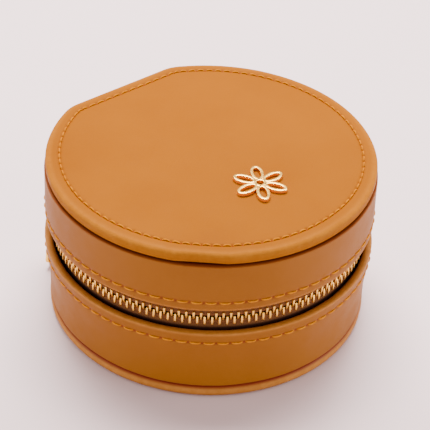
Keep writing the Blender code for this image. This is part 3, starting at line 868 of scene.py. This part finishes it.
def ring_frame():
    place = Matrix.Translation((0, BRIDGE_RADIUS, ZIP_Z))
    return slider_frame() @ place @ Matrix.Rotation(math.radians(RING_TILT), 4, "X")


def tab_frame():
    place = Matrix.Translation((0, 0, -RING_DROP - RING_MAJOR))
    return ring_frame() @ place @ Matrix.Rotation(math.radians(TAB_LEAN), 4, "Y")


def of_kind(found, kind):
    return [item for item in found if isinstance(item, kind)]


def add_plate(bm, loops, low, high, bevel, segments=3):
    """Add a plate in X and Z, from low to high in Y, with rounded edges. Loops after the first are holes."""
    part = bmesh.new()
    edges = []
    for loop in loops:
        verts = [part.verts.new((x, low, z)) for x, z in loop]
        edges += [part.edges.new((verts[i], verts[(i + 1) % len(verts)])) for i in range(len(verts))]
    filled = bmesh.ops.triangle_fill(part, edges=edges, use_beauty=True)["geom"]
    faces = of_kind(filled, bmesh.types.BMFace)
    grown = bmesh.ops.extrude_face_region(part, geom=faces)["geom"]
    bmesh.ops.translate(part, vec=(0, high - low, 0), verts=of_kind(grown, bmesh.types.BMVert))
    faces += of_kind(grown, bmesh.types.BMFace)
    bmesh.ops.recalc_face_normals(part, faces=part.faces)
    cap = set(faces)
    rims = [e for f in faces for e in f.edges if any(other not in cap for other in e.link_faces)]
    rims = list(dict.fromkeys(rims))
    bmesh.ops.bevel(part, geom=rims, offset=bevel, segments=segments, profile=0.5, affect="EDGES")
    join_into(bm, part)


def join_into(bm, part):
    """Move a finished part into bm."""
    mesh = bpy.data.meshes.new("part")
    part.to_mesh(mesh)
    part.free()
    bm.from_mesh(mesh)
    bpy.data.meshes.remove(mesh)


def slider_outline():
    """Outline of a slider plate: broad where the rows part, narrow where they are joined."""
    half = 3.6
    front = [(-5.0, 2.6), (-5.0, -2.6)]
    lower = [(-4.4, -3.1), (-2.4, -3.35), (0.5, -half), (3.6, -half), (4.6, -3.2), (5.0, -2.4)]
    dip = [(4.6, -1.2), (4.3, 0.0)]
    rest = [(x, -z) for x, z in reversed(lower + dip[:1])]
    return front + lower + dip + rest


def make_slider():
    """The slider: two plates with flanges, the post between them and the bridge for the ring."""
    bm, _ = new_mesh()
    outer = SLIDER_FACE
    inner = SLIDER_BACK
    for low, high in ((outer - 0.65, outer), (inner - 0.8, inner)):
        add_plate(bm, [slider_outline()], low, high, 0.26)
    half_flange = [(-4.8, 2.5), (-4.3, 3.1), (0.5, 3.55), (4.4, 3.5), (4.4, 2.9), (0.5, 2.9), (-4.4, 2.3)]
    for side in (-1, 1):
        flange = [(x, side * z) for x, z in half_flange]
        for low, high in ((outer - 1.55, outer - 0.3), (inner - 0.5, inner + 0.75)):
            add_plate(bm, [flange], low, high, 0.12, 2)
    post = [(2.0, 0.0), (3.3, -0.7), (4.6, 0.0), (3.3, 0.7)]
    add_plate(bm, [post], inner - 0.3, outer - 0.5, 0.15, 2)
    path = [Vector((-3.4, outer - 0.4, 0)), Vector((-3.5, outer + 1.5, 0))]
    bend = arc_points((-2.3, BRIDGE_RADIUS - 1.2), 1.2, 180, 90, 6)
    path += [Vector((x, y, 0)) for x, y in bend]
    path += [Vector((-p.x, p.y, 0)) for p in reversed(path)]
    part = bmesh.new()
    tube(part, path, [0.72] * len(path), 12)
    join_into(bm, part)
    bm.transform(slider_frame() @ Matrix.Translation((0, 0, ZIP_Z)))
    finish_piece("brass_slider", bm, BRASS, "slider", ["zip_slider"], 35)


def make_ring():
    """The pull's ring, pinched where its wire meets."""
    bm, _ = new_mesh()

    def point(i, j):
        turn = 2 * math.pi * i / 72
        around = 2 * math.pi * j / 16
        wire = RING_WIRE * (1 - 0.25 * bump(i, 18, 1.6))
        radius = RING_MAJOR + wire * math.cos(around)
        return wire * math.sin(around), radius * math.cos(turn), radius * math.sin(turn) - RING_DROP

    skin(bm, grid(bm, 72, 16, point), closed_stack=True)
    bm.transform(ring_frame())
    finish_piece("split_ring", bm, BRASS, "ring", ["pull_ring"], 60)


def make_tab():
    """The long pull: a flat bar with a hole for the ring and a slot."""
    bm, _ = new_mesh()
    corner = TAB_HALF_WIDTH - TAB_END_RADIUS
    end = TAB_END_RADIUS - TAB_LENGTH
    outline = arc_points((0, 0), TAB_HALF_WIDTH, 0, 180, 24)
    outline += arc_points((-corner, end), TAB_END_RADIUS, 180, 270, 8)
    outline += arc_points((corner, end), TAB_END_RADIUS, 270, 360, 8)
    hole = arc_points((0, 0), 1.05, 0, 345, 23)
    slot = arc_points((0, -8.0), 1.1, 0, 180, 10) + arc_points((0, -23.5), 1.1, 180, 360, 10)
    add_plate(bm, [outline, hole, slot], -TAB_THICKNESS / 2, TAB_THICKNESS / 2, 0.28)
    bm.transform(tab_frame())
    finish_piece("pull_bar", bm, BRASS, "tab", ["pull_tab"], 35)


def make_stops():
    """The two top stops and the bottom stop, as rounded brass clips."""
    clips = (("lower_top_stop", "base"), ("upper_top_stop", "lid"), ("bottom_stop", "base"))
    for node, body in clips:
        low, high = node_box(node)
        middle = (low + high) / 2
        s = s_of_angle(math.degrees(math.atan2(middle.y, middle.x)))
        half_height = (high.z - low.z) / 2
        bm, _ = new_mesh()
        half = 0.8
        loop = [(-half, -half_height), (half, -half_height), (half, half_height), (-half, half_height)]
        add_plate(bm, [loop], -1.0, 1.0, 0.3)
        point, normal = rim_at(s)
        turn = Matrix.Rotation(math.atan2(normal.y, normal.x) - math.pi / 2, 4, "Z")
        centre = point - normal * TEETH_INSET + Vector((0, 0, middle.z))
        bm.transform(Matrix.Translation(centre) @ turn)
        finish_piece(f"{node}_clip", bm, BRASS, body, [node], 35)


# ---- ornament


def oval_loop(bm, half_length, half_width, turn):
    """A closed oval strip with rounded top edges, standing on the leather."""
    low = HEIGHT + 0.02
    high = node_box("ornament")[1].z
    strip = 1.05
    edge = 0.26
    section = [(0.0, low), (0.0, high - edge)]
    section += [(edge - edge * math.cos(a), high - edge + edge * math.sin(a)) for a in (0.5, 1.05, 1.57)]
    section += [(strip - x, z) for x, z in reversed(section)]

    def point(i, j):
        inward, z = section[i]
        angle = 2 * math.pi * j / 48
        x = (half_length - inward) * math.cos(angle)
        return turn @ Vector((x, (half_width - inward) * math.sin(angle), z))

    skin(bm, grid(bm, len(section), 48, point), closed_stack=True)


def make_ornament():
    bm, _ = new_mesh()
    low, high = node_box("ornament")
    centre = Matrix.Translation(((low.x + high.x) / 2, (low.y + high.y) / 2, 0))
    oval_loop(bm, CORE_RADIUS, CORE_RADIUS, centre)
    half_length = (ORNAMENT_REACH - PETAL_INNER) / 2
    for index in range(PETAL_COUNT):
        turn = Matrix.Rotation(2 * math.pi * index / PETAL_COUNT, 4, "Z")
        shift = Matrix.Translation((PETAL_INNER + half_length, 0, 0))
        oval_loop(bm, half_length, PETAL_HALF_WIDTH, centre @ turn @ shift)
    finish_piece("gilt_rosette", bm, GILT, "lid", ["ornament"], 30)


# ---- hinge


def hinge_face(bm, layer, low, high, bulge, front):
    """Rows of points on one face of a hinge strip, thinned at its edges. Only the front bulges."""
    columns = 56
    rows = 48
    middle = (high + low) / 2
    half = (high - low) / 2
    lines = []
    for i in range(rows + 1):
        line = []
        for k in range(columns + 1):
            u = 2 * k / columns - 1
            v = 2 * i / rows - 1
            round_off = max(abs(u), abs(v)) ** 40
            thick = half.y * (1 - 0.75 * round_off)
            seam_x = bump(abs(u) * HINGE_HALF_X, HINGE_SEAM_X, 0.9)
            seam_line = max(seam_x, bump(abs(v) * HINGE_HALF_Z, HINGE_SEAM_Z, 0.9))
            groove = 0.16 * seam_line if bulge and front else 0.0
            y = middle.y + (thick + bulge * (1 - v * v) * (1 - u * u) - groove if front else -thick)
            vert = bm.verts.new((middle.x + u * half.x, y, middle.z + v * half.z))
            # Painted shade along the stitch grooves.
            vert[layer["painted_shade"]] = 0.5 * seam_line
            vert[layer["wear"]] = 0.8 * round_off
            line.append(vert)
        lines.append(line)
    return lines


def make_hinge():
    """The leather hinge strip on the flat back and the suede strip behind it."""
    for name, node, material, bulge in (
        ("hinge_strip", "hinge_leather", LEATHER, 0.18),
        ("hinge_inner_strip", "hinge_lining", SUEDE, 0.0),
    ):
        low, high = node_box(node)
        bm, layer = new_mesh("painted_shade", "wear")
        faces = [hinge_face(bm, layer, low, high, bulge, front) for front in (False, True)]
        for face in faces:
            skin(bm, face, closed_row=False)
        skin(bm, [rim_of(face) for face in faces])
        piece = finish_piece(name, bm, material)
        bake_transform(piece)
        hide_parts(node)
    low, high = node_box("hinge_leather")
    middle = (low.z + high.z) / 2
    for z, body in ((middle - HINGE_SEAM_Z, "base"), (middle + HINGE_SEAM_Z, "lid")):

        def place(x, z=z):
            return Vector((x, high.y + 0.02, z)), Vector((0, 1, 0)), Vector((0, 0, 1))

        stitch_run(f"hinge_stitches_{body}", place, 3.9, range(-4, 4), body, BAND_THREAD, share=0.72)


def rim_of(lines):
    """The points round the edge of a sheet of points, in order."""
    right = [line[-1] for line in lines]
    left = [line[0] for line in lines]
    return lines[0][:-1] + right[:-1] + lines[-1][:0:-1] + left[:0:-1]


# ---- interior


def lining_profile(mouth, floor, sign):
    """Section of a suede cup, over the wall board's edge. sign is 1 if its mouth faces up, -1 if down."""
    outer = LINING_INSET
    inner = outer + LINING_THICKNESS
    board = outer - 1.8
    under = floor - sign
    profile = [(outer, under), (outer, (under + mouth) / 2), (outer, mouth - sign * 0.3)]
    profile += [(outer - 0.2, mouth + sign * 0.03), (board, mouth + sign * 0.03)]
    profile += [(board - 0.08, mouth + sign * 0.14), (board + 0.15, mouth + sign * 0.25)]
    profile += [(inner - 0.5, mouth + sign * 0.25), (inner - 0.12, mouth + sign * 0.08)]
    profile += [(inner, mouth - sign * 0.4)]
    steps = 14
    top = mouth - sign * 1.0
    bottom = floor + sign * 1.4
    profile += [(inner, top + (bottom - top) * k / steps) for k in range(steps + 1)]
    profile += [(inner + 0.12, floor + sign * 0.7), (inner + 0.5, floor + sign * 0.22), (inner + 1.3, floor)]
    return profile


def make_linings():
    for name, node, body, mouth, floor, sign, seed in (
        ("base_suede_lining", "base_lining", "base", BASE_WALL_TOP, FLOOR_TOP, 1, 60.0),
        ("lid_suede_lining", "lid_lining", "lid", LID_WALL_BOTTOM, ROOF_BOTTOM, -1, 75.0),
    ):
        inner = LINING_INSET + LINING_THICKNESS

        def shape(s, inset, z, mouth=mouth, sign=sign, seed=seed, inner=inner):
            inside = inset > inner - 0.05
            depth = (mouth - z) * sign
            wave = 0.14 * wander(s, z * 0.4, 10.0, seed) + 0.08 * wander(s, z, 4.0, seed + 3)
            return inset + (wave * min(1.0, depth / 4) if inside and depth > 0 else 0.0), z

        middle = [(0.75, floor), (0.5, floor), (0.25, floor)]
        under = [(0.6, floor - sign), (0.3, floor - sign)]
        sweep(
            name, lining_profile(mouth, floor, sign), 300, SUEDE, shape, centre=(under, middle), body=body,
            stands_for=[node],
        )


def make_divider(name, node, axis):
    """A board wrapped in suede, with a rounded top edge. axis is 0 along X and 1 along Y."""
    low, high = node_box(node)
    across = 1 - axis
    half = (high[across] - low[across]) / 2
    middle = (high[across] + low[across]) / 2
    steps = int((high[axis] - low[axis]) / 1.2)
    rise = high.z - half - low.z
    heights = [low.z] + [low.z + rise * k / 12 for k in range(1, 12)]
    section = [(-half, z) for z in heights] + arc_points((0, high.z - half), half, 180, 0, 9)
    section += [(half, z) for z in reversed(heights)]
    bm, _ = new_mesh()

    def point(i, j):
        offset, z = section[j]
        along = low[axis] + (high[axis] - low[axis]) * i / steps
        near_end = min(i, steps - i, 3) / 3
        wave = 0.10 * noise.noise(Vector((along / 6, z / 9, half + middle))) * near_end
        lift = 0.12 * noise.noise(Vector((along / 9, 3.0, middle))) * (z > high.z - 2) * near_end
        spot = Vector((0, 0, z + lift))
        spot[axis] = along
        spot[across] = middle + offset * (1 + wave)
        return spot

    bar(bm, grid(bm, steps + 1, len(section), point))
    finish_piece(name, bm, SUEDE, "base", [node])


def roll_mesh(low, high):
    """A long bar with a flat bottom and a rounded top, in even quads."""
    bm, _ = new_mesh()
    middle = (low + high) / 2
    half = (high.y - low.y) / 2
    shoulder = high.z - ROLL_RADIUS
    heights = [low.z + 0.6] + [low.z + (shoulder - low.z) * k / 7 for k in range(1, 8)]
    turns = [math.pi * k / 14 for k in range(1, 14)]
    section = [(half * u, low.z) for u in (-0.5, 0.0, 0.5)] + [(half, z) for z in heights]
    section += [(half * math.cos(a), shoulder + ROLL_RADIUS * math.sin(a)) for a in turns]
    section += [(-half, z) for z in reversed(heights)]
    length = high.x - low.x
    steps = int(length / 1.1)

    def point(i, j):
        y, z = section[j]
        share = i / steps
        near = min(share, 1 - share) * length
        taper = 1.0 if near > 2.2 else 0.80 + 0.20 * math.sin(math.pi / 2 * near / 2.2)
        return low.x + length * share, middle.y + y * taper, low.z + (z - low.z) * (0.5 + 0.5 * taper)

    bar(bm, grid(bm, steps + 1, len(section), point))
    bmesh.ops.recalc_face_normals(bm, faces=bm.faces)
    return bm


def stuff(piece, bottom):
    """Inflate a closed cloth, held at its bottom, and keep the shape that it comes to rest in."""
    group = piece.vertex_groups.new(name="held")
    held = [v.index for v in piece.data.vertices if v.co.z < bottom + 0.5 * MM * SIM_SCALE]
    group.add(held, 1.0, "REPLACE")
    cloth = piece.modifiers.new("cloth", "CLOTH")
    settings = cloth.settings
    settings.quality = 5
    settings.mass = 0.3
    settings.use_pressure = True
    settings.uniform_pressure_force = 4.0
    settings.shrink_min = -0.05
    settings.vertex_group_mass = "held"
    settings.effector_weights.gravity = 0.0
    settings.tension_stiffness = 12
    settings.compression_stiffness = 12
    settings.bending_stiffness = 0.4
    cloth.collision_settings.use_collision = False
    cloth.point_cache.frame_start = 1
    cloth.point_cache.frame_end = SIM_FRAMES
    scene = bpy.context.scene
    for frame_number in range(1, SIM_FRAMES + 1):
        scene.frame_set(frame_number)
    depsgraph = bpy.context.evaluated_depsgraph_get()
    settled = [v.co.copy() for v in piece.evaluated_get(depsgraph).data.vertices]
    piece.modifiers.remove(cloth)
    scene.frame_set(1)
    return settled


def make_ring_rolls():
    """Four padded suede rolls. Each cover is inflated like a stuffed cloth, then kept inside its own room."""
    for index in range(1, 5):
        low, high = node_box(f"ring_roll_{index}")
        bm = roll_mesh(low, high)
        start = [v.co.copy() for v in bm.verts]
        bm.transform(Matrix.Scale(MM * SIM_SCALE, 4))
        mesh = bpy.data.meshes.new("stuffed")
        bm.to_mesh(mesh)
        stuffed = add_object("stuffed", mesh)
        settled = [co / (MM * SIM_SCALE) for co in stuff(stuffed, low.z * MM * SIM_SCALE)]
        bpy.data.objects.remove(stuffed)
        middle = (low + high) / 2
        for vert, before, after in zip(bm.verts, start, settled):
            move = after - before
            if move.length > ROLL_MOVE:
                move *= ROLL_MOVE / move.length
            spot = before + move
            spot.y = middle.y + max(-ROLL_RADIUS, min(ROLL_RADIUS, spot.y - middle.y))
            spot.x = max(low.x - ROLL_END_SWELL, min(high.x + ROLL_END_SWELL, spot.x))
            spot.z = max(low.z, min(high.z + ROLL_TOP_SWELL, spot.z))
            vert.co = spot
        bmesh.ops.subdivide_edges(bm, edges=list(bm.edges), cuts=1, use_grid_fill=True, smooth=0.6)
        roll = finish_piece(f"padded_roll_{index}", bm, SUEDE, "base", [f"ring_roll_{index}"], 80)


def make_mirror_frame():
    """A padded suede surround that holds the round mirror in the lid."""
    low, high = node_box("mirror_frame")
    count = 240
    runs = [-HALF_RUN + 2 * HALF_RUN * i / count for i in range(count)]
    edge = [wall_point(s, FLAT_Y - high.y, 0) for s in runs]
    bm, _ = new_mesh()
    rows = []
    shares = [(0.0, high.z), (0.0, low.z + 0.5)] + [(t / 12, None) for t in range(13)]
    for share, fixed in shares:
        row = []
        for outer in edge:
            spot = outer.lerp(outer.normalized() * MIRROR_VIEW, share)
            puff = math.sin(math.pi * share) ** 0.45 if 0 < share < 1 else 0.0
            lumps = 0.14 * noise.noise(Vector((spot.x / 7, spot.y / 7, 5.0))) * puff
            spot.z = fixed if fixed is not None else low.z + 0.35 - 0.75 * puff + lumps
            row.append(bm.verts.new(spot))
        rows.append(row)
    for radius, z in ((MIRROR_VIEW, MIRROR_SEAT_Z), (MIRROR_SEAT, MIRROR_SEAT_Z), (MIRROR_SEAT, high.z)):
        spots = [outer.normalized() * radius for outer in edge]
        rows.append([bm.verts.new((spot.x, spot.y, z)) for spot in spots])
    skin(bm, rows, closed_stack=True)
    frame_piece = finish_piece("padded_mirror_surround", bm, SUEDE, "lid", ["mirror_frame"])


def make_piping():
    """A leather cord round the mirror's edge."""
    bm, _ = new_mesh()

    def point(i, j):
        turn = 2 * math.pi * i / 160
        around = 2 * math.pi * j / 10
        radius = MIRROR_VIEW + 0.1 + PIPING_RADIUS * math.cos(around)
        return radius * math.cos(turn), radius * math.sin(turn), PIPING_Z + PIPING_RADIUS * math.sin(around)

    skin(bm, grid(bm, 160, 10, point), closed_stack=True)
    finish_piece("mirror_piping", bm, LEATHER, "lid")


# ---- camera and studio

CAMERA_TARGET = Vector((1.4, -1.2, 31.7)) * MM
CAMERA_DISTANCE = 0.4935
CAMERA_AZIMUTH = -41.0
CAMERA_ELEVATION = 37.3
CAMERA_ROLL = 2.5
CAMERA_LENS = 126.8
FLOOR_HALF = 3000


def make_camera():
    azimuth = math.radians(CAMERA_AZIMUTH)
    elevation = math.radians(CAMERA_ELEVATION)
    flat = math.cos(elevation)
    back = Vector((math.sin(azimuth) * flat, -math.cos(azimuth) * flat, math.sin(elevation)))
    camera = add_object("camera", bpy.data.cameras.new("camera"))
    camera.data.lens = CAMERA_LENS
    camera.data.sensor_width = 36.0
    camera.data.clip_start = 0.01
    turn = back.to_track_quat("Z", "Y").to_matrix() @ Matrix.Rotation(math.radians(CAMERA_ROLL), 3, "Z")
    camera.matrix_world = Matrix.Translation(CAMERA_TARGET + back * CAMERA_DISTANCE) @ turn.to_4x4()
    bpy.context.scene.camera = camera


def make_light(name, place, target, size, watts):
    light = bpy.data.lights.new(name, "AREA")
    light.shape = "RECTANGLE"
    light.size, light.size_y = size
    light.energy = watts
    lamp = add_object(name, light)
    lamp.location = place
    lamp.rotation_euler = (Vector(target) - Vector(place)).to_track_quat("-Z", "Y").to_euler()


def make_studio():
    bm, _ = new_mesh()
    bmesh.ops.create_grid(bm, x_segments=1, y_segments=1, size=FLOOR_HALF)
    floor = finish_piece("floor", bm, floor_material("floor"))
    world = bpy.data.worlds.new("studio")
    world.use_nodes = True
    background = world.node_tree.nodes["Background"].inputs
    background["Color"].default_value = (1.0, 0.985, 0.98, 1.0)
    background["Strength"].default_value = 1.0
    bpy.context.scene.world = world
    make_light("key", (0.185, 0.245, 0.76), (0.10, 0.13, 0.0), (0.5, 0.4), 25.0)
    make_light("left_fill", (-0.56, 0.28, 0.12), (0, 0, 0.02), (0.4, 0.2), 2.2)
    make_light("right_fill", (0.40, -0.48, 0.12), (0, 0, 0.02), (0.4, 0.2), 3.0)
    make_light("front_fill", (-0.40, -0.46, 0.06), (0, 0, 0.01), (0.5, 0.1), 0.9)


make_lid_panel()
make_band(
    "lid_band_leather", "lid_band", "lid", UPPER_EDGE, UPPER_BAND[1].z, UPPER_STITCH_Z, UPPER_EDGE,
    UPPER_BAND_OUT, UPPER_BAND_FLARE, 21.0,
)
make_band(
    "base_band_leather", "base_band", "base", LOWER_BAND[0].z, LOWER_EDGE, LOWER_STITCH_Z, LOWER_EDGE,
    LOWER_BAND_OUT, LOWER_BAND_FLARE, 33.0,
)
make_base_panel()
make_zip()
make_slider()
make_ring()
make_tab()
make_stops()
make_ornament()
make_hinge()
make_linings()
make_divider("long_suede_divider", "long_divider", 0)
make_divider("cross_suede_divider", "cross_divider", 1)
make_ring_rolls()
make_mirror_frame()
make_piping()
make_studio()
make_camera()

for part in frame["record"]["subparts"]:
    node = frame["nodes"][part["node"]]
    node.data.materials.clear()
    node.data.materials.append(MATERIAL_OF_SLOT[part["material_slot"]])
